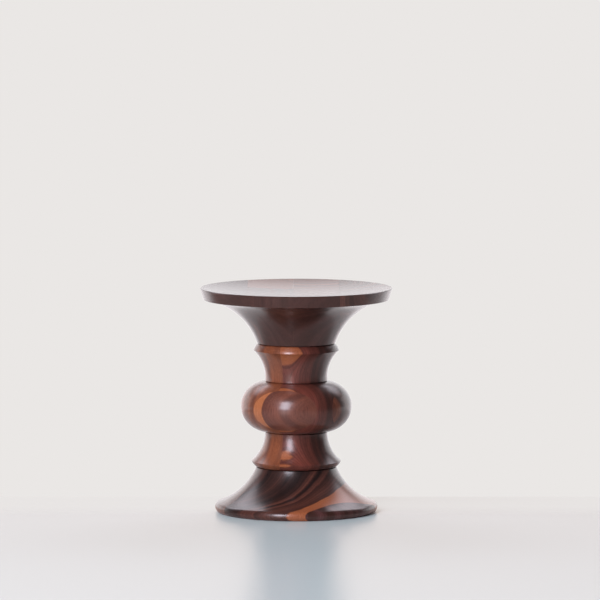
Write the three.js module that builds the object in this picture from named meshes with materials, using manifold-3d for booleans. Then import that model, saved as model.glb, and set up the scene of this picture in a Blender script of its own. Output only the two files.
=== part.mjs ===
// A turned walnut stool: a dished seat, a ball-shaped middle and a flared foot.
// Each of the three sections is glued up from upright walnut blocks and then turned round.
// Millimetres, +Z up. The origin is on the floor, under the middle of the foot.

import * as THREE from "three";
import { mergeVertices } from "three/addons/utils/BufferGeometryUtils.js";
import Module from "manifold-3d";

// Heights of the three turned sections, from the floor up
const baseHeight = 76.4;
const middleHeight = 209.7;
const seatHeight = 93.9;

// The seat: a slanted rim round a shallow dish, over a hollow flare
const seatRadius = 162.2;
const seatRimLowerRadius = 156.4;
const seatRimHeight = 19.2;
const seatLip = 1.2;
const seatLedge = 4.8;
const seatNeckRadius = 66.2;
const seatFlareRadius = 112.7;
const dishDepth = 11;

// The middle: a ring, a neck, a ball, a second neck and a second ring
const upperRingRadius = 72.3;
const upperRingTopRadius = 65.7;
const upperRingSlope = 10.8;
const upperRingNose = 2.7;
const upperNeckTopRadius = 69.3;
const neckRadius = 52.7;
const neckCoveRadius = 63.5;
const ballRadius = 93.8;
const ballHeight = 85.5;
const ballCentreDrop = 106.9;
const ballRoundness = 46;
const lowerRingRadius = 75.4;
const lowerRingBottomRadius = 68.5;
const lowerRingSlope = 9.8;
const ringCrown = 0.9;

// The foot: a hollow flare that ends in a rounded rim, with a shallow hollow underneath
const baseTopRadius = 68;
const footFlareRadius = 106;
const footShoulderRadius = 133;
const footRimHeight = 15.6;
const footRimCrown = 4.8;
const footLandRadius = 132;
const footLandWidth = 16;
const footHollowDepth = 6;

// The shadow grooves turned where two sections meet
const grooveDepth = 2.2;
const grooveHeight = 1.8;

// The glued blanks
const glueLine = 0.3;
const cheekThickness = 17.8;
const overrun = 5;

// The turned dowels that hold the sections together
const dowelRadius = 19;
const dowelLength = 79;
const dowelChamfer = 2;
const dowelFit = 0.3;
const dowelEndGap = 0.5;

// How far each blank is turned about the upright axis before it is glued, in degrees
const middleTurn = -14;
const baseTurn = 41.3;

// Steps round the axis and along each curve
const turningSteps = 60;
const dowelSteps = 32;
const flareSteps = 8;
const dishSteps = 4;
const neckSteps = 5;
const ballSteps = 7;
const ringSteps = 2;
const rimSteps = 6;
const hollowSteps = 3;

const walnut = {
  dark: new THREE.Color(0x3e2620),
  brown: new THREE.Color(0x5a382c),
  red: new THREE.Color(0x70432f),
};
const beech = new THREE.Color(0xb98a5c);

// The seat blank: planks from left to right, each with its butt joints from front to rear.
// All are shares of the seat's radius.
const seatPlankShares = [
  { name: "left", from: -1, to: -0.512, butts: [0.11], tone: walnut.brown },
  { name: "inner_left", from: -0.512, to: -0.031, butts: [-0.3, 0.43], tone: walnut.dark },
  { name: "inner_right", from: -0.031, to: 0.45, butts: [-0.19, 0.52], tone: walnut.brown },
  { name: "right", from: 0.45, to: 1, butts: [-0.09], tone: walnut.dark },
];

// The middle blank's square core: two columns, as shares of half its width.
const corePlankShares = [
  { name: "left", from: -1, to: -0.138, butts: [0.06], tone: walnut.red },
  { name: "right", from: -0.138, to: 1, butts: [-0.08], tone: walnut.brown },
];

// The base blank: planks from front to rear, each with its butt joints from left to right.
// All are shares of the foot's widest radius.
const basePlankShares = [
  { name: "front_edge", from: -1, to: -0.819, butts: [], tone: walnut.brown },
  { name: "front", from: -0.819, to: -0.305, butts: [0.42], tone: walnut.dark },
  { name: "centre", from: -0.305, to: 0.228, butts: [-0.38, 0.482], tone: walnut.red },
  { name: "rear", from: 0.228, to: 0.754, butts: [0.07], tone: walnut.dark },
  { name: "rear_edge", from: 0.754, to: 1, butts: [], tone: walnut.brown },
];

const wasm = await Module();
wasm.setup();

// Solids and meshes

function solidFrom(geometry) {
  geometry.deleteAttribute("normal");
  geometry.deleteAttribute("uv");
  const merged = mergeVertices(geometry);
  const vertProperties = merged.getAttribute("position").array;
  const triVerts = new Uint32Array(merged.getIndex().array);
  return new wasm.Manifold(new wasm.Mesh({ numProp: 3, vertProperties, triVerts }));
}

function meshFrom(solid, name, colour) {
  const { vertProperties, triVerts } = solid.getMesh();
  const geometry = new THREE.BufferGeometry();
  geometry.setAttribute("position", new THREE.BufferAttribute(vertProperties, 3));
  geometry.setIndex(new THREE.BufferAttribute(triVerts, 1));
  geometry.computeVertexNormals();
  const material = new THREE.MeshStandardMaterial({ color: colour, roughness: 0.35, metalness: 0 });
  const mesh = new THREE.Mesh(geometry, material);
  mesh.name = name;
  return mesh;
}

// Turns a profile of radius and height, drawn from the bottom of the piece to its top.
function turnedGeometry(profile, steps) {
  const lathe = new THREE.LatheGeometry(profile, steps);
  lathe.rotateX(Math.PI / 2);
  return lathe;
}

// Curves of a profile

const at = (radius, height) => new THREE.Vector2(radius, height);

// An arc of a given radius, with its centre to the right of the way from start to end.
// A profile runs upwards, so that centre lies outside the wood and the arc is a cove.
function arcBetween(start, end, radius, steps) {
  const chord = end.clone().sub(start);
  const toCentre = Math.sqrt(radius ** 2 - (chord.length() / 2) ** 2);
  const right = at(chord.y, -chord.x).normalize();
  const centre = start.clone().add(end).divideScalar(2).addScaledVector(right, toCentre);
  const from = start.clone().sub(centre);
  const sweep = 2 * Math.asin(chord.length() / (2 * radius));
  const points = [];
  for (let step = 0; step <= steps; step += 1) {
    const turn = (-sweep * step) / steps;
    points.push(from.clone().rotateAround(at(0, 0), turn).add(centre));
  }
  return points;
}

// An arc that swells by a given crown to the left of the way from start to end.
function crownBetween(start, end, crown, steps) {
  const halfChord = end.distanceTo(start) / 2;
  return arcBetween(start, end, (halfChord ** 2 + crown ** 2) / (2 * crown), steps);
}

// A shallow hollow that lies level at the axis, so that it bows a quarter of its depth.
function hollowBetween(start, end, steps) {
  return crownBetween(start, end, Math.abs(end.y - start.y) / 4, steps);
}

// The three turned profiles, each from the underside up and round to the axis

const socketRadius = dowelRadius + dowelFit;
const socketDepth = dowelLength / 2 + dowelEndGap;
const jointGap = glueLine / 2;
const grooveHalf = grooveHeight / 2;

function socketUp(floor) {
  return [at(0, floor + socketDepth), at(socketRadius, floor + socketDepth), at(socketRadius, floor)];
}

function socketDown(top) {
  return [at(socketRadius, top), at(socketRadius, top - socketDepth), at(0, top - socketDepth)];
}

function baseProfile() {
  const landInner = footLandRadius - footLandWidth;
  const hollow = hollowBetween(at(0, footHollowDepth), at(landInner, 0), hollowSteps);
  const shoulder = at(footShoulderRadius, footRimHeight);
  const rim = crownBetween(shoulder, at(footLandRadius, 0), footRimCrown, rimSteps).reverse();
  const flareTop = at(baseTopRadius, baseHeight - grooveHalf);
  const flare = arcBetween(shoulder, flareTop, footFlareRadius, flareSteps);
  const top = baseHeight - jointGap;
  const groove = at(baseTopRadius - grooveDepth, top);
  return [...hollow, ...rim, ...flare.slice(1), groove, ...socketDown(top)];
}

function middleProfile() {
  const bottomRing = at(lowerRingBottomRadius, grooveHalf);
  const lowerNose = at(lowerRingRadius, lowerRingSlope);
  const lowerRing = crownBetween(lowerNose, bottomRing, ringCrown, ringSteps).reverse();
  const ballCentre = middleHeight - ballCentreDrop;
  const topRing = at(upperRingTopRadius, middleHeight - grooveHalf);
  const upperNose = at(upperRingRadius, topRing.y - upperRingSlope);
  const upperNeckTop = at(upperNeckTopRadius, upperNose.y - upperRingNose);
  const upperRing = crownBetween(topRing, upperNose, ringCrown, ringSteps).reverse();
  const ball = ballProfile(ballCentre);
  const lowerNeck = arcBetween(lowerNose, ball[0], neckCoveRadius, neckSteps);
  const upperNeck = arcBetween(ball[ball.length - 1], upperNeckTop, neckCoveRadius, neckSteps);
  return [
    ...socketUp(jointGap),
    at(lowerRingBottomRadius - grooveDepth, jointGap),
    ...lowerRing,
    ...lowerNeck.slice(1, -1),
    ...ball,
    ...upperNeck.slice(1),
    ...upperRing,
    at(upperRingTopRadius - grooveDepth, middleHeight - jointGap),
    ...socketDown(middleHeight - jointGap),
  ];
}

// The ball is an upright oval carried round the neck, and starts where it leaves the neck.
function ballProfile(centreHeight) {
  const ovalCentre = ballRadius - ballRoundness;
  const startAngle = Math.acos((neckRadius - ovalCentre) / ballRoundness);
  const points = [];
  for (let step = -ballSteps; step <= ballSteps; step += 1) {
    const angle = (startAngle * step) / ballSteps;
    const radius = ovalCentre + ballRoundness * Math.cos(angle);
    points.push(at(radius, centreHeight + (ballHeight / 2) * Math.sin(angle)));
  }
  return points;
}

function seatProfile() {
  const rimFoot = at(seatRimLowerRadius, seatHeight - seatRimHeight);
  const flareBottom = at(seatNeckRadius, grooveHalf);
  const flareTop = at(seatRimLowerRadius - seatLedge, rimFoot.y);
  const flare = arcBetween(flareBottom, flareTop, seatFlareRadius, flareSteps);
  const lipTop = at(seatRadius - seatLip, seatHeight);
  const dishFloor = at(0, seatHeight - dishDepth);
  const dish = hollowBetween(lipTop, dishFloor, dishSteps);
  return [
    ...socketUp(jointGap),
    at(seatNeckRadius - grooveDepth, jointGap),
    ...flare,
    rimFoot,
    at(seatRadius, seatHeight - seatLip),
    ...dish,
  ];
}

// The glued blanks: every block is an upright cell of the blank, cut out of the turned section

function cellSolid(cell, height) {
  const width = cell.right - cell.left;
  const depth = cell.rear - cell.front;
  const box = new THREE.BoxGeometry(width, depth, height + 2 * overrun);
  box.translate((cell.left + cell.right) / 2, (cell.front + cell.rear) / 2, height / 2);
  return solidFrom(box);
}

// Both faces of a glue joint stand half a glue line back from it.
function spanBetween(from, to, blankHalf, edge) {
  const low = from === -1 ? -edge : from * blankHalf + glueLine / 2;
  const high = to === 1 ? edge : to * blankHalf - glueLine / 2;
  return [low, high];
}

const placeNames = { 1: [""], 2: ["front", "rear"], 3: ["front", "middle", "rear"] };
const sideNames = { 1: [""], 2: ["left", "right"], 3: ["left", "middle", "right"] };

// Cells of a blank whose planks run from front to rear and stand side by side.
function cellsOf(plankShares, blankHalf, edge, names) {
  const cells = [];
  for (const plank of plankShares) {
    const [left, right] = spanBetween(plank.from, plank.to, blankHalf, edge);
    const stops = [-1, ...plank.butts, 1];
    for (let index = 0; index < stops.length - 1; index += 1) {
      const [front, rear] = spanBetween(stops[index], stops[index + 1], blankHalf, edge);
      const place = names[stops.length - 1][index];
      const name = [plank.name, place, "block"].filter(Boolean).join("_");
      cells.push({ name, left, right, front, rear, tone: plank.tone });
    }
  }
  return cells;
}

// The same cells with the planks lying from left to right, one behind another.
function turnedSideways(cells) {
  return cells.map((cell) => ({
    ...cell,
    left: cell.front,
    right: cell.rear,
    front: cell.left,
    rear: cell.right,
  }));
}

// Four cheeks widen the middle's square core where the ball stands out of it.
function cheekCells(coreHalf, edge) {
  const inner = coreHalf + glueLine / 2;
  const across = { left: -edge, right: edge, tone: walnut.red };
  const along = { front: -coreHalf + glueLine / 2, rear: coreHalf - glueLine / 2, tone: walnut.red };
  return [
    { name: "ball_front_cheek", front: -edge, rear: -inner, ...across },
    { name: "ball_rear_cheek", front: inner, rear: edge, ...across },
    { name: "ball_left_cheek", left: -edge, right: -inner, ...along },
    { name: "ball_right_cheek", left: inner, right: edge, ...along },
  ];
}

function sectionOf(profile, cells, height) {
  const section = new THREE.Group();
  const turned = solidFrom(turnedGeometry(profile, turningSteps));
  for (const cell of cells) {
    const block = turned.intersect(cellSolid(cell, height));
    section.add(meshFrom(block, cell.name, cell.tone));
  }
  return section;
}

function named(prefix, cells) {
  return cells.map((cell) => ({ ...cell, name: `${prefix}_${cell.name}` }));
}

function makeSeat() {
  const edge = seatRadius + overrun;
  const cells = named("seat", cellsOf(seatPlankShares, seatRadius, edge, placeNames));
  const seat = sectionOf(seatProfile(), cells, seatHeight);
  seat.position.z = baseHeight + middleHeight;
  return seat;
}

function makeMiddle() {
  const edge = ballRadius + overrun;
  const coreHalf = ballRadius - cheekThickness;
  const coreEdge = coreHalf - glueLine / 2;
  const core = named("middle", cellsOf(corePlankShares, coreHalf, coreEdge, placeNames));
  const cells = [...core, ...cheekCells(coreHalf, edge)];
  const middle = sectionOf(middleProfile(), cells, middleHeight);
  middle.rotation.z = THREE.MathUtils.degToRad(middleTurn);
  middle.position.z = baseHeight;
  return middle;
}

function makeBase() {
  const reach = (footShoulderRadius + footLandRadius) / 2 + footRimCrown;
  const planks = cellsOf(basePlankShares, reach, reach + overrun, sideNames);
  const cells = named("base", turnedSideways(planks));
  const base = sectionOf(baseProfile(), cells, baseHeight);
  base.rotation.z = THREE.MathUtils.degToRad(baseTurn);
  return base;
}

// A loose dowel, half in the section below and half in the section above.
function makeDowel(name, jointHeight) {
  const half = dowelLength / 2;
  const end = dowelRadius - dowelChamfer;
  const profile = [
    at(0, -half),
    at(end, -half),
    at(dowelRadius, dowelChamfer - half),
    at(dowelRadius, half - dowelChamfer),
    at(end, half),
    at(0, half),
  ];
  const dowel = meshFrom(solidFrom(turnedGeometry(profile, dowelSteps)), name, beech);
  dowel.position.z = jointHeight;
  return dowel;
}

const stool = new THREE.Group();
stool.name = "turned_wood_stool";
stool.add(makeBase(), makeMiddle(), makeSeat());
stool.add(makeDowel("base_joint_dowel", baseHeight));
stool.add(makeDowel("seat_joint_dowel", baseHeight + middleHeight));

export default stool;
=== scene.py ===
# %% [markdown]
# A turned walnut stool. It is three turned sections stacked on one axis: a dished seat, a
# middle with a ball between two rings, and a flared foot. Each section is glued up from
# upright blocks of walnut before it goes on the lathe, so the finished curve runs through
# many boards, and the colour and the growth rings jump at every glue line.
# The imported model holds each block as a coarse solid. This script makes a smooth block for
# each one, in the same place, and gives it its own piece of wood.

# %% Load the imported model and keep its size
import math

import bmesh
import bpy
from mathutils import Matrix, Vector


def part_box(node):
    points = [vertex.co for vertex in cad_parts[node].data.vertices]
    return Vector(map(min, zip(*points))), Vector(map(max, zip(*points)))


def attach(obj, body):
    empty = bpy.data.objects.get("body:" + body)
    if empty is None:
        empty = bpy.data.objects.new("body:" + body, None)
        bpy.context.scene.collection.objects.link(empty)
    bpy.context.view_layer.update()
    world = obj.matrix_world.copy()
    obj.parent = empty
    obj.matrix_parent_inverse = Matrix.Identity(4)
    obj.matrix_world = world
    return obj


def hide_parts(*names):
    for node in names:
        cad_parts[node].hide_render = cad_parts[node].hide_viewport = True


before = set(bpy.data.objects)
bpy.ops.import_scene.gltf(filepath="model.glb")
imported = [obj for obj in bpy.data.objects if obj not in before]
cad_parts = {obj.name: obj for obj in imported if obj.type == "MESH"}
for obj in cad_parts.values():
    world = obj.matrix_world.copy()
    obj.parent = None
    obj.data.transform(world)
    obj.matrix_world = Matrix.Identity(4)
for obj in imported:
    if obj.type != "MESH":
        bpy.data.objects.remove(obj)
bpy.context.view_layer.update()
MM = 0.001
print("blocks and dowels in the frame:", len(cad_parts))

# %% [markdown]
# The photograph is taken from far away with a long lens, and looks down by less than six
# degrees, so the stool is seen almost without perspective. A camera needs three things for
# that: its distance, its height, and the lens that brings the stool to the right size in
# the picture.

# %% Camera
CAMERA_DISTANCE = 9.5
CAMERA_HEIGHT = 1.2864
LENS = 339.2
AIM = Vector((0.0063, 0, 0.359))
CAMERA_FAR = 100

camera = bpy.data.objects.new("camera", bpy.data.cameras.new("camera"))
camera.data.lens = LENS
camera.data.clip_end = CAMERA_FAR
camera.location = (0, -CAMERA_DISTANCE, CAMERA_HEIGHT)
camera.rotation_euler = (AIM - camera.location).to_track_quat("-Z", "Y").to_euler()
bpy.context.scene.collection.objects.link(camera)
bpy.context.scene.camera = camera
bpy.context.scene.view_settings.view_transform = "Standard"
print("camera looks down by", round(90 - math.degrees(camera.rotation_euler.x), 2), "degrees")

# %% [markdown]
# Materials are built from nodes. Written out by hand, a growth-ring pattern is a long chain
# of Math nodes that nobody can read. So a small class wraps a socket and lets Python's own
# operators add the Math nodes: (a - b) * 2 becomes two nodes. Every other kind of node comes
# from one method, which sets the node's options first and then its sockets.

# %% Sockets that can be added and multiplied
class Wire:
    """An output socket that Python's arithmetic can be used on."""

    def __init__(self, finish, socket):
        self.finish = finish
        self.socket = socket

    def __add__(self, other):
        return self.finish.maths("ADD", self, other)

    def __sub__(self, other):
        return self.finish.maths("SUBTRACT", self, other)

    def __rsub__(self, other):
        return self.finish.maths("SUBTRACT", other, self)

    def __mul__(self, other):
        return self.finish.maths("MULTIPLY", self, other)

    def __truediv__(self, other):
        return self.finish.maths("DIVIDE", self, other)

    __radd__ = __add__
    __rmul__ = __mul__


print("sockets can be added, subtracted, multiplied and divided")

# %% A tree of nodes
class Finish:
    """The node tree of a material or of the world."""

    def __init__(self, owner):
        owner.use_nodes = True
        self.tree = owner.node_tree
        self.tree.nodes.clear()

    def node(self, kind, settings=None, sockets=None, out=0):
        made = self.tree.nodes.new(kind)
        for name, value in (settings or {}).items():
            if name == "stops":
                self.place_stops(made.color_ramp, value)
            else:
                setattr(made, name, value)
        for name, value in (sockets or {}).items():
            if isinstance(value, Wire):
                self.tree.links.new(value.socket, made.inputs[name])
            else:
                made.inputs[name].default_value = value
        return Wire(self, made.outputs[out]) if len(made.outputs) else made

    def place_stops(self, ramp, stops):
        """Grey stops, each a place from 0 to 1 and a shade. A ramp starts with its two ends."""
        ramp.interpolation = "EASE"
        for end, (_, shade) in zip(ramp.elements, (stops[0], stops[-1])):
            end.color = (shade, shade, shade, 1)
        for place, shade in stops[1:-1]:
            ramp.elements.new(place).color = (shade, shade, shade, 1)

    def maths(self, operation, *values):
        return self.node("ShaderNodeMath", {"operation": operation}, dict(enumerate(values)))

    def part(self, vector, axis):
        """One number out of a place or a direction: 0 is its x, 1 its y and 2 its z."""
        return self.node("ShaderNodeSeparateXYZ", {}, {0: vector}, out=axis)

    def smooth(self, value, low, high):
        """A soft step from 0, where the value is low, to 1, where it is high."""
        settings = {"interpolation_type": "SMOOTHSTEP"}
        return self.node("ShaderNodeMapRange", settings, {0: value, 1: low, 2: high})

    def ramp(self, value, pairs):
        """A soft curve through pairs, each a value and the share wanted there."""
        first, reach = pairs[0][0], pairs[-1][0] - pairs[0][0]
        stops = [((place - first) / reach, share) for place, share in pairs]
        return self.node("ShaderNodeValToRGB", {"stops": stops}, {0: (value - first) / reach})

    def mix(self, share, first, second, blend="MIX"):
        settings = {"data_type": "RGBA", "blend_type": blend}
        return self.node("ShaderNodeMix", settings, {0: share, 6: first, 7: second}, out=2)

    def mix_shaders(self, share, first, second):
        return self.node("ShaderNodeMixShader", {}, {0: share, 1: first, 2: second})

    def grain(self, place, shift, pattern):
        """Noise drawn out along the grain, because its places are squeezed upright. A pattern
        is that squeeze, a shift of its own, the noise's scale and its detail."""
        squeeze, own_shift, scale, detail = pattern
        start = shift + own_shift
        sockets = {"Vector": place, "Scale": (1, 1, squeeze), "Location": (start, -start, 0)}
        drawn_out = self.node("ShaderNodeMapping", {}, sockets)
        sockets = {"Vector": drawn_out, "Scale": scale, "Detail": detail}
        return self.node("ShaderNodeTexNoise", {}, sockets)


print("node trees can be written as sums")

# %% [markdown]
# A colour picked off a photograph is a number from 0 to 255 for the screen. A shader wants
# the light that this number stands for, so each one is turned back with the screen's own
# curve, which is the sRGB standard's: straight near black, and a power above that.

# %% Colours as light
def paint(red, green, blue):
    """A colour as it is read off a photograph, 0 to 255, as the light that it stands for."""
    def light(value):
        share = value / 255
        return share / 12.92 if share <= 0.04045 else ((share + 0.055) / 1.055) ** 2.4
    return (light(red), light(green), light(blue), 1)


# Heartwood, from the darkest to the lightest
DEEP = paint(37, 24, 22)
DARK = paint(62, 37, 31)
UMBER = paint(76, 46, 40)
PURPLE = paint(92, 58, 56)
CHESTNUT = paint(100, 60, 50)
RUST = paint(104, 60, 44)
WINE = paint(124, 66, 55)
BROWN = paint(118, 72, 53)
RUSSET = paint(128, 76, 60)
RED = paint(142, 80, 56)
ORANGE = paint(168, 98, 62)

# Sapwood, and the streaks in it
SAPWOOD = paint(180, 111, 71)
DULL_SAPWOOD = paint(163, 95, 61)
SAP_STREAK = paint(150, 86, 54)
print("sapwood as light:", [round(value, 3) for value in SAPWOOD[:3]])

# %% [markdown]
# Walnut with upright grain is, to a woodworker, a stack of growth rings round a pith. Where
# a turned surface runs along the grain the rings show as streaks, where it crosses them they
# show as arcs, and where it only grazes them, as on the ball, they show as nested ovals. A
# flat wood texture wrapped round the stool could give only one of these. One solid pattern
# gives all three, because it is worked out in space and not on the surface: the distance
# from an upright pith line, bent a little, and cut into rings.
# The wood darkens towards the end of each year and starts pale again.

# %% Growth rings
RING_PITCH = 3.4 * MM
RING_WANDER = 2.6 * MM
BOARD_BEND = 14 * MM
SLOW_BEND = (0.35, 0, 13, 1.0)
QUICK_WANDER = (0.14, 3, 60, 2.0)
NOISE_MIDDLE = 0.5
LATE_WOOD = (0.35, 0.97)
YEAR_END = (0.97, 1.0)
SHIFT_ACROSS = 7
SHIFT_ALONG = 13


def board_shift(pith):
    """A share from 0 to 1 that differs from board to board, so that no pattern repeats."""
    return (abs(pith[0]) * SHIFT_ACROSS + abs(pith[1]) * SHIFT_ALONG) % 1


def rings(finish, place, shift, pith, pitch, bend):
    """The bent distance from the pith line, and the share of late wood there."""
    across = finish.part(place, 0) - pith[0]
    along = finish.part(place, 1) - pith[1]
    bare = finish.maths("SQRT", across * across + along * along)
    slow = finish.grain(place, shift, SLOW_BEND) - NOISE_MIDDLE
    quick = finish.grain(place, shift, QUICK_WANDER) - NOISE_MIDDLE
    distance = bare + slow * bend + quick * RING_WANDER
    year = finish.maths("FRACT", distance / pitch)
    late = finish.smooth(year, *LATE_WOOD) * (1 - finish.smooth(year, *YEAR_END))
    return distance, late


print("rings to 10 mm:", round(10 * MM / RING_PITCH, 1))

# %% [markdown]
# Good and bad years together make broad light and dark bands, wider than a ring. On a board
# that nobody sees closely, chance can place them. On a board that faces the camera they are
# placed: a ramp gives the light colour's share at each distance from the pith, and chance
# only ruffles it.

# %% Broad bands
BANDS_PER_METRE = 75
BAND_SHIFT = 9
BAND_DETAIL = 2.5
BAND_EDGES = (0.32, 0.72)
CHANCE = 0.35


def bands(finish, distance, shift, years):
    """The light colour's share. years are pairs of a distance from the pith, in millimetres,
    and that share, or None where chance places the bands."""
    along_years = distance * BANDS_PER_METRE + shift * BAND_SHIFT
    sockets = {"W": along_years, "Scale": 1.0, "Detail": BAND_DETAIL}
    noise = finish.node("ShaderNodeTexNoise", {"noise_dimensions": "1D"}, sockets)
    by_chance = finish.smooth(noise, *BAND_EDGES)
    if years is None:
        return by_chance
    return finish.ramp(distance / MM, years) + (by_chance - NOISE_MIDDLE) * CHANCE


print("width of a band by chance:", round(1 / BANDS_PER_METRE / MM), "mm")

# %% [markdown]
# Sapwood is the pale outer wood of the trunk. Its border follows a ring, so one distance
# from the pith places it, and a dark line of heartwood runs along it. A real board isn't so
# regular, so at some heights that border would lie wide of the one in the photograph. A
# swell lets the heartwood reach further into the sapwood there.

# %% Sapwood
SAP_SOFTNESS = 1.1 * MM
SAP_BORDER = 3 * MM
SAP_BORDER_SHADE = 0.5
SAP_STREAKS = 0.45
SWELL = 17 * MM


def add_sapwood(finish, place, distance, late, colour, heart, sap, sapwood, inside, swell):
    """sap is the distance from the pith at which sapwood begins, and inside turns its side
    round. swell is pairs of a height, in millimetres, and a share of SWELL."""
    if swell:
        pushed = finish.ramp(finish.part(place, 2) / MM, swell) * (SWELL if inside else -SWELL)
        distance = distance + pushed
    edge = finish.smooth(distance, sap - SAP_SOFTNESS, sap + SAP_SOFTNESS)
    share = 1 - edge if inside else edge
    border = (sap, sap + SAP_BORDER) if inside else (sap - SAP_BORDER, sap)
    near = finish.smooth(distance, *border)
    colour = finish.mix((1 - near if inside else near) * SAP_BORDER_SHADE, colour, heart)
    pale = finish.mix(late * SAP_STREAKS, sapwood, SAP_STREAK)
    return finish.mix(share, colour, pale)


print("sapwood is ready")

# %% [markdown]
# Fibres and pores run up the grain, so they show as short dashes on the sides and as dots on
# end grain. They are much too fine to model, so they only darken the colour, roughen the
# polish and feed a bump. The polish itself is a clear coat over satin wood.

# %% Fibres, pores and polish
FIBRE = (0.05, 5, 620, 3.0)
FIBRE_EDGES = (0.25, 0.75)
FIBRE_SHARE = 0.34
FIBRE_SHADE = (0.35, 0.27, 0.25, 1)
FIBRE_ROUGHNESS = 0.1
FIBRE_HEIGHT = 0.35
PORE = (0.035, 8, 1500, 1.0)
PORE_EDGES = (0.60, 0.70)
PORE_SHARE = 0.55
PORE_SHADE = (0.25, 0.2, 0.18, 1)
PORE_ROUGHNESS = 0.18
PORE_DEPTH = 0.05 * MM
BUMP_STRENGTH = 0.5
SATIN_ROUGHNESS = 0.42
SATIN_SHINE = 0.1
COAT_WEIGHT = 1.0
COAT_ROUGHNESS = 0.23


def polished_wood(finish, place, shift, colour):
    fibre = finish.grain(place, shift, FIBRE)
    pore = finish.smooth(finish.grain(place, shift, PORE), *PORE_EDGES)
    shade = finish.smooth(fibre, *FIBRE_EDGES) * FIBRE_SHARE
    colour = finish.mix(shade, colour, FIBRE_SHADE, blend="MULTIPLY")
    colour = finish.mix(pore * PORE_SHARE, colour, PORE_SHADE, blend="MULTIPLY")
    roughness = SATIN_ROUGHNESS + pore * PORE_ROUGHNESS
    height = fibre * FIBRE_HEIGHT - pore
    relief = {"Height": height, "Distance": PORE_DEPTH, "Strength": BUMP_STRENGTH}
    return finish.node("ShaderNodeBsdfPrincipled", {}, {
        "Base Color": colour,
        "Roughness": roughness + (fibre - NOISE_MIDDLE) * FIBRE_ROUGHNESS,
        "Normal": finish.node("ShaderNodeBump", {}, relief),
        "Specular IOR Level": SATIN_SHINE,
        "Coat Weight": COAT_WEIGHT,
        "Coat Roughness": COAT_ROUGHNESS,
    })


print("polish is ready")

# %% [markdown]
# Now the steps above come together as one board. One material could be shared by all the
# blocks, but then the pattern would run on through every glue line. So each block gets a
# material of its own, with its own pith line.

# %% One board of walnut
STREAKS = 0.4


def walnut(
    name, pith, heart, light, sap=None, inside=False, sapwood=SAPWOOD,
    pitch=RING_PITCH, streaks=STREAKS, bend=BOARD_BEND, years=None, swell=None,
):
    """heart and light are the two heartwood colours. streaks says how far late wood darkens
    towards the first, bend how far the rings leave a true circle."""
    material = bpy.data.materials.new(name)
    finish = Finish(material)
    place = finish.node("ShaderNodeTexCoord", out="Object")
    shift = board_shift(pith)
    distance, late = rings(finish, place, shift, pith, pitch, bend)
    colour = finish.mix(bands(finish, distance, shift, years), heart, light)
    colour = finish.mix(late * streaks, colour, heart)
    if sap is not None:
        colour = add_sapwood(
            finish, place, distance, late, colour, heart, sap, sapwood, inside, swell,
        )
    shader = polished_wood(finish, place, shift, colour)
    finish.node("ShaderNodeOutputMaterial", {}, {"Surface": shader})
    return material


print("walnut is ready")

# %% [markdown]
# A turned section is an outline carried once round the axis. The outline is drawn from the
# underside up to the top, with every round stretch as an arc, so a designer can change one
# radius and keep a clean curve. A cove's arc has its centre outside the wood, and a crown's
# arc has it inside.

# %% Arcs of an outline
ARC_STEPS = 36
SHORT_STEPS = 8


def at(radius, height):
    return Vector((radius, height))


def arc(start, end, radius, steps):
    """Points of an arc whose centre lies to the right of the way from start to end."""
    chord = end - start
    reach = math.sqrt(radius ** 2 - (chord.length / 2) ** 2)
    centre = (start + end) / 2 + Vector((chord.y, -chord.x)).normalized() * reach
    spoke = start - centre
    sweep = 2 * math.asin(chord.length / (2 * radius))
    points = []
    for step in range(steps + 1):
        turn = Matrix.Rotation(-sweep * step / steps, 2)
        points.append(centre + turn @ spoke)
    return points


def crown(start, end, height, steps):
    """An arc given by how high it stands off the straight line from start to end."""
    half = (end - start).length / 2
    return arc(start, end, (half ** 2 + height ** 2) / (2 * height), steps)


def half_bowl(start, end, depth, steps):
    """Half the outline of a shallow bowl. It stands a quarter of the bowl's depth off the
    straight line between rim and middle."""
    return crown(start, end, depth / 4, steps)


def describe(name, outline):
    width = 2 * max(point.x for point in outline) / MM
    print(name, "is", round(width, 1), "mm across, drawn with", len(outline), "points")


print("steps in a long arc and in a short one:", ARC_STEPS, SHORT_STEPS)

# %% [markdown]
# Between two sections the turner leaves a thin shadow groove, so that a joint which closes a
# hair unevenly isn't seen. A loose dowel keeps the sections in line, in a blind socket on
# each side. Both are part of the outlines, so they are turned and not cut in afterwards.

# %% Grooves and dowel sockets
GROOVE_HALF = 0.9 * MM
GROOVE_DEPTH = 2.2 * MM
JOINT_HALF = 0.15 * MM
SOCKET_RADIUS = 19.3 * MM
SOCKET_DEPTH = 40 * MM


def socket_up(floor):
    ceiling = floor + SOCKET_DEPTH
    return [at(0, ceiling), at(SOCKET_RADIUS, ceiling), at(SOCKET_RADIUS, floor)]


def socket_down(top):
    floor = top - SOCKET_DEPTH
    return [at(SOCKET_RADIUS, top), at(SOCKET_RADIUS, floor), at(0, floor)]


print("dowel socket:", round(2 * SOCKET_RADIUS / MM, 1), "mm across")

# %% [markdown]
# The foot sweeps out from the joint in one long cove and ends in a fat, rounded rim. A foot
# that is flat underneath rocks as soon as the wood moves, so it is hollowed and stands on a
# ring. The rim is one crown from the flat ring up to the shoulder, where the cove begins.

# %% Outline of the foot
BASE_HEIGHT = 76.4 * MM
BASE_TOP_RADIUS = 68 * MM
FOOT_FLARE_RADIUS = 106 * MM
FOOT_SHOULDER_RADIUS = 133 * MM
FOOT_RIM_HEIGHT = 15.6 * MM
FOOT_RIM_CROWN = 4.8 * MM
LAND_OUTER = 132 * MM
LAND_INNER = 116 * MM
HOLLOW_DEPTH = 6 * MM


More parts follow.
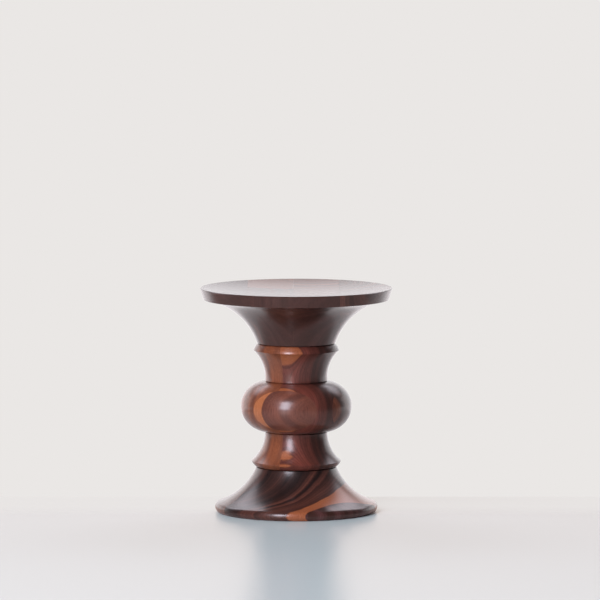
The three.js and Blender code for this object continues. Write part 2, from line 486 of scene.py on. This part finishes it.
def base_outline():
    hollow = half_bowl(at(0, HOLLOW_DEPTH), at(LAND_INNER, 0), HOLLOW_DEPTH, SHORT_STEPS)
    shoulder = at(FOOT_SHOULDER_RADIUS, FOOT_RIM_HEIGHT)
    rim = crown(shoulder, at(LAND_OUTER, 0), FOOT_RIM_CROWN, ARC_STEPS)[::-1]
    flare_top = at(BASE_TOP_RADIUS, BASE_HEIGHT - GROOVE_HALF)
    flare = arc(shoulder, flare_top, FOOT_FLARE_RADIUS, ARC_STEPS)
    top = BASE_HEIGHT - JOINT_HALF
    groove = at(BASE_TOP_RADIUS - GROOVE_DEPTH, top)
    return hollow + rim + flare[1:] + [groove] + socket_down(top)


describe("the foot", base_outline())

# %% [markdown]
# The middle is, from below, a ring, a neck, the ball, a neck and a ring. The ball is wider
# than it is high. A squeezed sphere would look pointed at its sides, so its outline is
# nearly half of an oval whose centre lies off the axis. The necks are coves. In the corner
# between ball and neck the turner cuts a fine quirk, seen as a dark line.

# %% Outline of the middle
MIDDLE_HEIGHT = 209.7 * MM
RING_RADIUS = 72.3 * MM
RING_TOP_RADIUS = 65.7 * MM
RING_SLOPE = 10.8 * MM
RING_NOSE = 2.7 * MM
NECK_TOP_RADIUS = 69.3 * MM
NECK_RADIUS = 52.7 * MM
NECK_COVE_RADIUS = 63.5 * MM
BALL_RADIUS = 93.8 * MM
BALL_HEIGHT = 85.5 * MM
BALL_CENTRE_DROP = 106.9 * MM
BALL_ROUNDNESS = 46 * MM
LOWER_RING_RADIUS = 75.4 * MM
LOWER_RING_BOTTOM_RADIUS = 68.5 * MM
LOWER_RING_SLOPE = 9.8 * MM
RING_CROWN = 0.9 * MM
QUIRK_WIDTH = 1.5 * MM
QUIRK_DEPTH = 2 * MM


def ball_arc(centre_height):
    oval_centre = BALL_RADIUS - BALL_ROUNDNESS
    start = math.acos((NECK_RADIUS - oval_centre) / BALL_ROUNDNESS)
    points = []
    for step in range(-ARC_STEPS, ARC_STEPS + 1):
        angle = start * step / ARC_STEPS
        radius = oval_centre + BALL_ROUNDNESS * math.cos(angle)
        points.append(at(radius, centre_height + BALL_HEIGHT / 2 * math.sin(angle)))
    return points


def middle_outline():
    floor = BASE_HEIGHT
    ceiling = BASE_HEIGHT + MIDDLE_HEIGHT
    lower_groove = at(LOWER_RING_BOTTOM_RADIUS - GROOVE_DEPTH, floor + JOINT_HALF)
    bottom = at(LOWER_RING_BOTTOM_RADIUS, floor + GROOVE_HALF)
    lower_nose = at(LOWER_RING_RADIUS, floor + LOWER_RING_SLOPE)
    lower_ring = crown(lower_nose, bottom, RING_CROWN, SHORT_STEPS)[::-1]

    ball = ball_arc(ceiling - BALL_CENTRE_DROP)
    lower_neck_top = at(NECK_RADIUS, ball[0].y - QUIRK_WIDTH)
    lower_neck = arc(lower_nose, lower_neck_top, NECK_COVE_RADIUS, ARC_STEPS)
    lower_quirk = at(NECK_RADIUS - QUIRK_DEPTH, ball[0].y - QUIRK_WIDTH / 2)
    quirk = at(NECK_RADIUS - QUIRK_DEPTH, ball[-1].y + QUIRK_WIDTH / 2)
    neck_bottom = at(NECK_RADIUS, ball[-1].y + QUIRK_WIDTH)

    ring_top = at(RING_TOP_RADIUS, ceiling - GROOVE_HALF)
    nose = at(RING_RADIUS, ring_top.y - RING_SLOPE)
    ring = crown(ring_top, nose, RING_CROWN, SHORT_STEPS)[::-1]
    neck_top = at(NECK_TOP_RADIUS, nose.y - RING_NOSE)
    neck = arc(neck_bottom, neck_top, NECK_COVE_RADIUS, ARC_STEPS)
    groove = at(RING_TOP_RADIUS - GROOVE_DEPTH, ceiling - JOINT_HALF)
    return (
        socket_up(floor + JOINT_HALF) + [lower_groove] + lower_ring + lower_neck[1:]
        + [lower_quirk] + ball + [quirk] + neck + ring + [groove]
        + socket_down(ceiling - JOINT_HALF)
    )


describe("the middle", middle_outline())

# %% [markdown]
# The seat flares out from the joint in one cove and steps out to a thin, slanted rim. Its top
# is dished so that one sits in it and not on it. The dish is so shallow that one arc from the
# lip to the middle is the whole of it.

# %% Outline of the seat
SEAT_HEIGHT = 93.9 * MM
SEAT_RADIUS = 162.2 * MM
SEAT_RIM_LOWER_RADIUS = 156.4 * MM
SEAT_RIM_HEIGHT = 19.2 * MM
SEAT_LIP = 1.2 * MM
SEAT_LEDGE = 4.8 * MM
SEAT_NECK_RADIUS = 66.2 * MM
SEAT_FLARE_RADIUS = 112.7 * MM
DISH_DEPTH = 11 * MM


def seat_outline():
    floor = BASE_HEIGHT + MIDDLE_HEIGHT
    top = floor + SEAT_HEIGHT
    groove = at(SEAT_NECK_RADIUS - GROOVE_DEPTH, floor + JOINT_HALF)
    flare_bottom = at(SEAT_NECK_RADIUS, floor + GROOVE_HALF)
    rim_foot = at(SEAT_RIM_LOWER_RADIUS, top - SEAT_RIM_HEIGHT)
    flare_top = at(SEAT_RIM_LOWER_RADIUS - SEAT_LEDGE, rim_foot.y)
    flare = arc(flare_bottom, flare_top, SEAT_FLARE_RADIUS, ARC_STEPS)
    rim_top = at(SEAT_RADIUS, top - SEAT_LIP)
    lip = at(SEAT_RADIUS - SEAT_LIP, top)
    dish = half_bowl(lip, at(0, top - DISH_DEPTH), DISH_DEPTH, ARC_STEPS)
    return socket_up(floor + JOINT_HALF) + [groove] + flare + [rim_foot, rim_top] + dish


describe("the seat", seat_outline())

# %% [markdown]
# The lathe itself is the spin operator: it carries the outline's edges once round the axis
# and closes the last step on the first. The points on the axis are then one point each, so
# doubles are merged before the normals are made to point outwards.

# %% Spin an outline
TURNING_STEPS = 360
MERGE = 0.0005 * MM


def spun(outline, steps=TURNING_STEPS):
    mesh = bmesh.new()
    points = [mesh.verts.new((point.x, 0, point.y)) for point in outline]
    edges = [mesh.edges.new(pair) for pair in zip(points, points[1:])]
    bmesh.ops.spin(
        mesh, geom=points + edges, cent=(0, 0, 0), axis=(0, 0, 1),
        angle=2 * math.pi, steps=steps, use_merge=True, use_duplicate=False,
    )
    bmesh.ops.remove_doubles(mesh, verts=mesh.verts, dist=MERGE)
    bmesh.ops.dissolve_degenerate(mesh, dist=MERGE, edges=mesh.edges)
    bmesh.ops.recalc_face_normals(mesh, faces=mesh.faces)
    return mesh


print("one turn has", TURNING_STEPS, "steps")

# %% [markdown]
# Each block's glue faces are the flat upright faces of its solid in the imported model. They
# are found there, by direction, and the smooth section is cut at the same places. So the
# visible joints are where the construction has them, and are drawn only once.
# The solids stand JOINT_HALF away from each joint. Here only a hairline is left open.

# %% Find a block's glue faces
QUARTER_TURNS = (0, 90, 180, 270)
FACING = 0.9999
LEAST_GLUE_AREA = 40 * MM * MM
HAIRLINE = 0.03 * MM


def glue_faces(node, turn):
    """Every plane (point, direction out of the block) on which this block is glued. turn says
    how far the section's joints are turned from the x axis, in degrees."""
    planes = []
    for quarter in QUARTER_TURNS:
        angle = math.radians(turn + quarter)
        out = Vector((math.cos(angle), math.sin(angle), 0))
        area = 0
        offset = 0
        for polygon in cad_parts[node].data.polygons:
            if polygon.normal.dot(out) > FACING:
                area += polygon.area
                offset += polygon.area * polygon.center.dot(out)
        if area > LEAST_GLUE_AREA:
            planes.append((out * (offset / area + JOINT_HALF - HAIRLINE), out))
    return planes


print("a glue line is", round(2 * HAIRLINE / MM, 2), "mm wide")

# %% [markdown]
# A boolean could cut the blocks out, but a plane is all that a glue face needs, and a cut
# with a plane leaves the turned surface exactly as it was. The open end is then filled.
# A finished piece is shaded smooth, apart from edges that are sharp on the real stool, and
# the node of the imported model that it stands for is hidden.

# %% Cut a section and finish a piece
CUT_MERGE = MERGE / 10
SHARP_ANGLE = math.radians(28)


def cut(section, planes):
    block = section.copy()
    for point, out in planes:
        everything = block.verts[:] + block.edges[:] + block.faces[:]
        result = bmesh.ops.bisect_plane(
            block, geom=everything, dist=CUT_MERGE, plane_co=point, plane_no=out,
            clear_outer=True,
        )
        rim = [item for item in result["geom_cut"] if isinstance(item, bmesh.types.BMEdge)]
        bmesh.ops.triangle_fill(block, edges=rim, use_beauty=True, normal=out)
    bmesh.ops.recalc_face_normals(block, faces=block.faces)
    return block


def finished(mesh, name, material, node):
    """Makes the piece, and counts the edges that its mesh leaves open: none, on a solid."""
    for face in mesh.faces:
        face.smooth = True
    for edge in mesh.edges:
        edge.smooth = len(edge.link_faces) == 2 and edge.calc_face_angle(0) < SHARP_ANGLE
    open_edges = sum(1 for edge in mesh.edges if len(edge.link_faces) != 2)
    data = bpy.data.meshes.new(name)
    mesh.to_mesh(data)
    mesh.free()
    data.materials.append(material)
    piece = bpy.data.objects.new(name, data)
    bpy.context.scene.collection.objects.link(piece)
    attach(piece, "root")
    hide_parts(node)
    return open_edges


print("edges are sharp from", round(math.degrees(SHARP_ANGLE)), "degrees")

# %% [markdown]
# Every board is described in the way that a woodworker would choose it: where its pith lies
# in plan, which two browns its heartwood has, and whether sapwood is left on it. Places are
# in metres in plan, with x to the right and y to the back. The boards that face the camera
# follow the photograph. The others are chosen to belong with them.

# %% Boards of the seat
SEAT_BOARDS = {
    "seat_left_front_block": dict(pith=(-0.24, -0.20), heart=DARK, light=UMBER),
    "seat_left_rear_block": dict(pith=(-0.05, 0.22), heart=DARK, light=PURPLE),
    "seat_inner_left_front_block": dict(
        pith=(0.02, -0.165), heart=DARK, light=UMBER, streaks=0.2),
    "seat_inner_left_middle_block": dict(pith=(-0.16, 0.03), heart=DARK, light=CHESTNUT),
    "seat_inner_left_rear_block": dict(pith=(-0.1, 0.05), heart=BROWN, light=RED),
    "seat_inner_right_front_block": dict(
        pith=(0.05, 0.03), heart=DARK, light=UMBER, streaks=0.25),
    "seat_inner_right_middle_block": dict(pith=(0.09, -0.14), heart=CHESTNUT, light=BROWN),
    "seat_inner_right_rear_block": dict(pith=(0.04, 0.24), heart=CHESTNUT, light=RED),
    "seat_right_front_block": dict(pith=(0.2, -0.16), heart=DARK, light=CHESTNUT),
    "seat_right_rear_block": dict(pith=(0.06, 0.11), heart=DARK, light=BROWN),
}
print("boards in the seat:", len(SEAT_BOARDS))

# %% [markdown]
# The middle is four core blocks, and four cheeks glued on where the ball stands out of them.
# At the front, an orange board meets a dark one with sapwood at the core's joint. The front
# cheek's rings lie nearly flat to its face, which is why the ball shows nested ovals.

# %% Boards of the middle
MIDDLE_BOARDS = {
    "middle_left_front_block": dict(
        pith=(-0.13, 0.03), heart=RUST, light=ORANGE, streaks=0.25, bend=8 * MM,
        years=((80, 0.2), (92, 0.3), (104, 0.15), (112, 0.6), (118, 0.4), (125, 0.5),
               (150, 0.3))),
    "middle_left_rear_block": dict(pith=(-0.02, 0.12), heart=DARK, light=RED),
    "middle_right_front_block": dict(
        pith=(-0.0457, -0.14), heart=DARK, light=WINE, sap=0.0892, inside=True,
        sapwood=DULL_SAPWOOD, bend=5 * MM,
        swell=((76, 0.95), (88, 0.85), (102, 0.12), (108, 0), (127, 0), (140, 0.76),
               (218, 0.76), (232, 0), (286, 0)),
        years=((72, 0.8), (90, 0.85), (97, 0.95), (101, 0.55), (108, 0.4), (114, 0.35),
               (119, 0.1), (138, 0.1), (157, 0.4), (190, 0.2), (220, 0.8))),
    "middle_right_rear_block": dict(pith=(0.12, 0.06), heart=DARK, light=BROWN),
    "ball_front_cheek": dict(
        pith=(-0.151, 0.378), heart=CHESTNUT, light=RUSSET, sap=0.4607, inside=True,
        pitch=2.4 * MM, bend=4 * MM),
    "ball_right_cheek": dict(
        pith=(0.03, 0.05), heart=DARK, light=RED, streaks=0.3, bend=4 * MM,
        years=((95, 0.15), (112, 0.1), (119, 0.9), (126, 0.1))),
    "ball_rear_cheek": dict(pith=(0.03, -0.07), heart=DARK, light=RED, pitch=2.6 * MM),
    "ball_left_cheek": dict(pith=(0.08, -0.04), heart=BROWN, light=RED, pitch=2.8 * MM),
}
print("boards in the middle:", len(MIDDLE_BOARDS))

# %% [markdown]
# Three of the foot's blocks are sawn from one plank, so they share its pith and its
# colours, and its rings run on across their joints. Two of them reach its sapwood.

# %% Boards of the foot
FOOT_PLANK = dict(pith=(-0.0564, 0.0036), heart=DEEP, light=CHESTNUT, bend=8 * MM)
FOOT_SAP_PLANK = dict(FOOT_PLANK, sap=0.1395, sapwood=DULL_SAPWOOD)
BASE_BOARDS = {
    "base_front_edge_block": dict(pith=(0.14, 0.02), heart=DARK, light=PURPLE),
    "base_front_left_block": dict(
        FOOT_SAP_PLANK, swell=((0, 0.35), (13, 0.35), (22, 0), (76, 0)),
        years=((50, 0.1), (104, 0.05), (109.5, 0.9), (114, 0.1), (118.5, 1.0), (123, 0.3),
               (134, 0.7))),
    "base_front_right_block": FOOT_SAP_PLANK,
    "base_centre_left_block": dict(
        FOOT_PLANK,
        years=((40, 0.5), (56, 0.1), (76, 0.25), (104, 0.05), (112, 0.8), (130, 0.6))),
    "base_centre_middle_block": dict(pith=(0.05, 0.09), heart=DARK, light=BROWN),
    "base_centre_right_block": dict(pith=(0.02, -0.12), heart=DARK, light=BROWN),
    "base_rear_left_block": dict(pith=(-0.21, 0.1), heart=DARK, light=BROWN),
    "base_rear_right_block": dict(pith=(0.13, 0.15), heart=DARK, light=RED),
    "base_rear_edge_block": dict(pith=(-0.02, 0.02), heart=DARK, light=PURPLE),
}
print("boards in the foot:", len(BASE_BOARDS))

# %% [markdown]
# Each section is turned once, and every block is a copy of it with the other boards cut
# away. The sections' joints are turned against each other, as they are on the stool, so
# that no glue line runs from one section into the next.

# %% Cut all the blocks out of their sections
SEAT_TURN = 0
MIDDLE_TURN = -14
BASE_TURN = 41.3
SECTIONS = (
    ("seat_walnut", seat_outline(), SEAT_TURN, SEAT_BOARDS),
    ("middle_walnut", middle_outline(), MIDDLE_TURN, MIDDLE_BOARDS),
    ("base_walnut", base_outline(), BASE_TURN, BASE_BOARDS),
)

blocks = 0
open_edges = 0
for slot, outline, turn, boards in SECTIONS:
    section = spun(outline)
    for node, board in boards.items():
        block = cut(section, glue_faces(node, turn))
        material = walnut("walnut_" + node, **board)
        open_edges += finished(block, "walnut_" + node, material, node)
        blocks += 1
    section.free()
print("walnut blocks:", blocks, "open edges:", open_edges)

# %% [markdown]
# Two loose dowels hold the sections together. They are hidden, so they are plain: turned
# beech, chamfered so that they start easily in their sockets. Beech has no bold rings. Its
# mark is a fleck, short and dark, on a pale brown ground.

# %% Beech
BEECH = paint(203, 160, 112)
BEECH_GRAIN_COLOUR = paint(176, 128, 84)
BEECH_GRAIN = (0.06, 0.9, 220, 3.0)
BEECH_GRAIN_EDGES = (0.3, 0.7)
FLECK_COLOUR = paint(140, 96, 60)
FLECK = (0.08, 0.4, 900, 2.0)
FLECK_EDGES = (0.62, 0.7)
FLECK_SHARE = 0.5
BARE_ROUGHNESS = 0.6


def beech():
    material = bpy.data.materials.new("beech")
    finish = Finish(material)
    place = finish.node("ShaderNodeTexCoord", out="Object")
    grain = finish.smooth(finish.grain(place, 0, BEECH_GRAIN), *BEECH_GRAIN_EDGES)
    fleck = finish.smooth(finish.grain(place, 0, FLECK), *FLECK_EDGES) * FLECK_SHARE
    colour = finish.mix(grain, BEECH, BEECH_GRAIN_COLOUR)
    colour = finish.mix(fleck, colour, FLECK_COLOUR)
    sockets = {"Base Color": colour, "Roughness": BARE_ROUGHNESS}
    shader = finish.node("ShaderNodeBsdfPrincipled", {}, sockets)
    finish.node("ShaderNodeOutputMaterial", {}, {"Surface": shader})
    return material


dowel_wood = beech()
print("beech is ready")

# %% Two dowels
DOWEL_RADIUS = 19 * MM
DOWEL_CHAMFER = 2 * MM
DOWEL_STEPS = 96


def dowel_outline(node):
    low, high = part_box(node)
    end_radius = DOWEL_RADIUS - DOWEL_CHAMFER
    return [
        at(0, low.z), at(end_radius, low.z), at(DOWEL_RADIUS, low.z + DOWEL_CHAMFER),
        at(DOWEL_RADIUS, high.z - DOWEL_CHAMFER), at(end_radius, high.z), at(0, high.z),
    ]


for node in ("base_joint_dowel", "seat_joint_dowel"):
    dowel = spun(dowel_outline(node), DOWEL_STEPS)
    open_edges += finished(dowel, "turned_" + node, dowel_wood, node)
print("dowels made, open edges in all:", open_edges)

# %% [markdown]
# The stool stands on a satin blue-grey floor, which looks nearly white only because it is
# seen at a flat angle and mirrors the white wall. The wall could be a second plane, but it
# would stand in the way of the studio's light. So the floor's own material turns into the
# wall: gently behind the stool, as on a studio sweep, and fully past a line further back.
# The gentle part is the veil, and only rays from the camera see it. It is painted light:
# emitted wall colour over most of the floor's own shading, which softens the line to the wall
# and paints out most of the stool's shadow on the floor behind it. Mirrored rays see the
# wall past the line. All other rays see bare floor, so the light on the stool is unchanged.
# Polished wood mirrors the floor a little warmer than it looks, and the wall there brighter
# with distance and dim at the near left.
# Each pair below is where a change begins and where it is complete, in metres.

# %% Floor
WALL = paint(234, 231, 229)
FLOOR = paint(209, 226, 228)
FLOOR_IN_POLISH = paint(212, 196, 192)
FLOOR_SIZE = 12
FLOOR_ROUGHNESS = 0.22
FLOOR_IOR = 1.5
SHEEN_SHARE = 0.63
SHEEN = (1.0, 0.81, 0.69, 1)
VEIL = (-0.06, 0.07)
VEIL_SHARE = 0.7
WALL_LINE = (0.17, 0.19)
WALL_RISE = (0.45, 1.0)
NEAR_WALL = (0.78, 0.735, 0.76, 1)
FAR_WALL = (1.5, 1.42, 1.46, 1)
DIM_LEFT = (0.5, 0.9)
DIM_BACK = (0.45, 0.75)
DIM_WALL = (0.4, 0.24, 0.23, 1)


def floor_material():
    material = bpy.data.materials.new("floor_paint")
    finish = Finish(material)
    place = finish.node("ShaderNodeTexCoord", out="Object")
    back = finish.part(place, 1)
    camera_ray = finish.node("ShaderNodeLightPath", out="Is Camera Ray")
    glossy_ray = finish.node("ShaderNodeLightPath", out="Is Glossy Ray")

    direct = finish.node("ShaderNodeBsdfDiffuse", {}, {"Color": FLOOR})
    reflected = finish.node("ShaderNodeBsdfDiffuse", {}, {"Color": FLOOR_IN_POLISH})
    matt = finish.mix_shaders(glossy_ray, direct, reflected)
    sockets = {"Color": SHEEN, "Roughness": FLOOR_ROUGHNESS}
    polished = finish.node("ShaderNodeBsdfGlossy", {}, sockets)
    sheen = finish.node("ShaderNodeFresnel", {}, {"IOR": FLOOR_IOR}) * SHEEN_SHARE
    ground = finish.mix_shaders(sheen, matt, polished)

    mirrored = finish.mix(finish.smooth(back, *WALL_RISE), NEAR_WALL, FAR_WALL)
    leftward = 0 - finish.part(place, 0)
    dimmed = finish.smooth(leftward, *DIM_LEFT) * (1 - finish.smooth(back, *DIM_BACK))
    mirrored = finish.mix(dimmed, mirrored, DIM_WALL)
    wall_colour = finish.mix(glossy_ray, WALL, mirrored)
    wall = finish.node("ShaderNodeEmission", {}, {"Color": wall_colour})

    beyond = finish.smooth(back, *WALL_LINE)
    # The veil is painted light: wall colour that covers most of the stool's shadow on the floor
    # behind it.
    veil = finish.smooth(back, *VEIL) * VEIL_SHARE
    shown = beyond * glossy_ray + (veil + (1 - veil) * beyond) * camera_ray
    both = finish.mix_shaders(shown, ground, wall)
    finish.node("ShaderNodeOutputMaterial", {}, {"Surface": both})
    return material


floor_mesh = bmesh.new()
bmesh.ops.create_grid(floor_mesh, x_segments=1, y_segments=1, size=FLOOR_SIZE / 2)
floor_data = bpy.data.meshes.new("floor")
floor_mesh.to_mesh(floor_data)
floor_mesh.free()
floor_data.materials.append(floor_material())
floor = bpy.data.objects.new("floor", floor_data)
bpy.context.scene.collection.objects.link(floor)
print("floor is", FLOOR_SIZE, "m wide")

# %% [markdown]
# Above the floor, polished wood mirrors the rest of the studio. The wall is lit low down,
# and two white panels stand above it, left and right of the middle. Everything else is dark,
# overhead and behind the camera. That gives the wood pale edges where it turns away, and
# deep colour where it faces us. A picture of a studio could be wrapped round the scene
# instead, but bands and panels with named limits are easier to move.
# Each pair is again where a change begins and where it is complete. Here it is a part of
# the unit direction that a ray looks in: y away from the camera, x to the side and z up.

# %% World
DARK_LIGHT = 0.06
WALL_LIGHT = 1.44
PANEL_LIGHT = 2.76
SEEN_LIGHT = 1.0
AWAY = (0.35, 0.6)
WALL_TOP = (0.32, 0.41)
PANEL_SIDE = (0.08, 0.17)
PANEL_FOOT = (0.39, 0.61)
PANEL_TOP = (0.7, 0.84)
WALL_TINT = (0.98, 0.95, 0.97, 1)
PANEL_TINT = (0.97, 0.92, 1.0, 1)

def glow(finish, colour, strength):
    return finish.node("ShaderNodeBackground", {}, {"Color": colour, "Strength": strength})


world = bpy.data.worlds.new("studio")
bpy.context.scene.world = world
finish = Finish(world)
direction = finish.node("ShaderNodeTexCoord", out="Generated")
side, back, up = (finish.part(direction, axis) for axis in range(3))
away = finish.smooth(back, *AWAY)
low = away * (1 - finish.smooth(up, *WALL_TOP))
aside = finish.smooth(finish.maths("ABSOLUTE", side), *PANEL_SIDE)
panels = away * aside * finish.smooth(up, *PANEL_FOOT) * (1 - finish.smooth(up, *PANEL_TOP))

dark = glow(finish, PANEL_TINT, DARK_LIGHT)
lit_wall = glow(finish, WALL_TINT, WALL_LIGHT)
studio = finish.mix_shaders(low, dark, lit_wall)
studio = finish.mix_shaders(panels, studio, glow(finish, PANEL_TINT, PANEL_LIGHT))
camera_ray = finish.node("ShaderNodeLightPath", out="Is Camera Ray")
both = finish.mix_shaders(camera_ray, studio, glow(finish, WALL, SEEN_LIGHT))
finish.node("ShaderNodeOutputWorld", {}, {"Surface": both})
print("nodes in the world:", len(finish.tree.nodes))

# %% [markdown]
# One tall softbox stands to the left of the camera. It makes the highlights on the ball, on
# the lower neck and on the foot, which tell the eye how glossy the wood is. A second, wider
# lamp further left brightens that side without a highlight of its own.

# %% Key light and fill light
LAMP_DISTANCE = 12
LAMP_AIM = Vector((0, 0, 0.2))


def softbox(name, azimuth, elevation, width, height, power, colour=(1, 1, 1)):
    """A lamp at so many degrees to the right of the camera's side, and above the floor."""
    lamp = bpy.data.objects.new(name, bpy.data.lights.new(name, "AREA"))
    lamp.data.shape = "RECTANGLE"
    lamp.data.size = width
    lamp.data.size_y = height
    lamp.data.energy = power
    lamp.data.color = colour
    sideways = Matrix.Rotation(math.radians(azimuth), 3, "Z")
    upwards = Matrix.Rotation(math.radians(-elevation), 3, "X")
    towards = sideways @ upwards @ Vector((0, -1, 0))
    lamp.location = LAMP_AIM + towards * LAMP_DISTANCE
    lamp.rotation_euler = towards.to_track_quat("Z", "Y").to_euler()
    bpy.context.scene.collection.objects.link(lamp)
    return lamp


key = softbox(
    "key", azimuth=-24, elevation=22, width=3.8, height=7.9, power=1310,
    colour=(0.92, 0.88, 1.0),
)
fill = softbox("fill", azimuth=-50, elevation=48, width=5.8, height=5.8, power=490)
fill.visible_glossy = False
print("key light stands at", [round(value, 2) for value in key.location])
